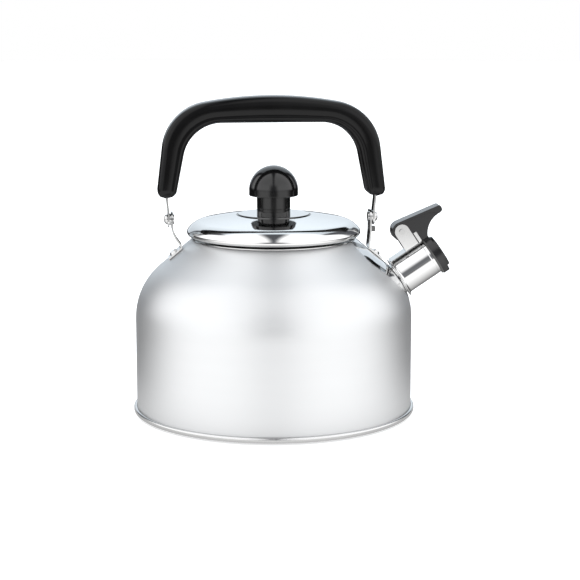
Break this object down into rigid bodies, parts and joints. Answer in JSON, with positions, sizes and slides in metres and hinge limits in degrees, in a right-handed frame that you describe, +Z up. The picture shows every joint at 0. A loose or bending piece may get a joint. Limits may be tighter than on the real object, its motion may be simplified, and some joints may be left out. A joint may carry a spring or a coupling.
{
  "type": "stovetop whistling kettle",
  "caption": "Round stainless steel stovetop kettle with a folding bail handle, lift-off domed lid, and a pull-off spout whistle opened by a sprung trigger lever.",
  "frame": {"origin": "centre of the flat base face, on the kettle's axis, in the plane it rests on", "axes": "+Z up along the body's axis, +X towards the spout, the bail handle's arch in the XZ plane"},
  "size_m": [0.2324, 0.2056, 0.2302],
  "materials": {
    "satin_steel": "satin-finished stainless steel, polished locally round the spout",
    "seam_steel": "semi-bright stainless steel rolled seam",
    "polished_steel": "mirror-polished stainless steel",
    "bracket_steel": "bright formed stainless strip",
    "strap_steel": "bright rolled spring steel strip",
    "rivet_steel": "tumbled stainless steel",
    "spring_wire": "drawn spring wire",
    "disc_steel": "plain rolled stainless sheet",
    "magnetic_steel": "circularly ground ferritic stainless steel",
    "core_aluminium": "plain aluminium",
    "brass": "turned brass",
    "silicone": "dark heat-resistant silicone",
    "black_knob": "high-gloss black phenolic moulding",
    "black_grip": "semi-gloss black phenolic moulding",
    "black_lever": "semi-gloss black heat-resistant moulding"
  },
  "bodies": {
    "vessel": {"kettle_body": "satin_steel", "base_pan": "seam_steel", "heat_spreader": "core_aluminium", "induction_plate": "magnetic_steel", "spout_tube": "polished_steel", "left_lug": "bracket_steel", "right_lug": "bracket_steel", "lug_buffer": "silicone", "foot_rivets": "rivet_steel", "pivot_rivets": "rivet_steel", "pivot_washers": "rivet_steel"},
    "bail": {"handle_strap": "strap_steel", "handle_grip": "black_grip"},
    "lid": {"lid_shell": "polished_steel", "lid_skirt": "bracket_steel", "lid_knob": "black_knob", "knob_insert": "brass", "knob_washer": "rivet_steel", "knob_screw": "rivet_steel"},
    "whistle": {"whistle_sleeve": "polished_steel", "sleeve_liner": "silicone", "whistle_bracket": "polished_steel", "hinge_pin": "rivet_steel", "lever_spring": "spring_wire"},
    "lever": {"trigger_lever": "black_lever", "cap_seal": "silicone", "whistle_disc_inner": "disc_steel", "whistle_spacer": "core_aluminium", "whistle_disc_outer": "disc_steel", "cap_cover": "black_lever"}
  },
  "joints": [
    {"name": "bail_fold", "type": "hinge", "parent": "vessel", "child": "bail", "pos_m": [0, 0, 0.142], "axis": [1, 0, 0], "range_deg": [-80, 80]},
    {"name": "lid_lift", "type": "slide", "parent": "vessel", "child": "lid", "axis": [0, 0, 1], "range_m": [0, 0.028]},
    {"name": "whistle_pull", "type": "slide", "parent": "vessel", "child": "whistle", "axis": [0.8339, 0, 0.5519], "range_m": [0, 0.028]},
    {"name": "lever_open", "type": "hinge", "parent": "whistle", "child": "lever", "pos_m": [0.09324, 0, 0.13112], "axis": [0, -1, 0], "range_deg": [0, 60], "stiffness_Nm_per_rad": 0.02, "springref_deg": -28.65, "deforming": ["lever_spring"]}
  ]
}
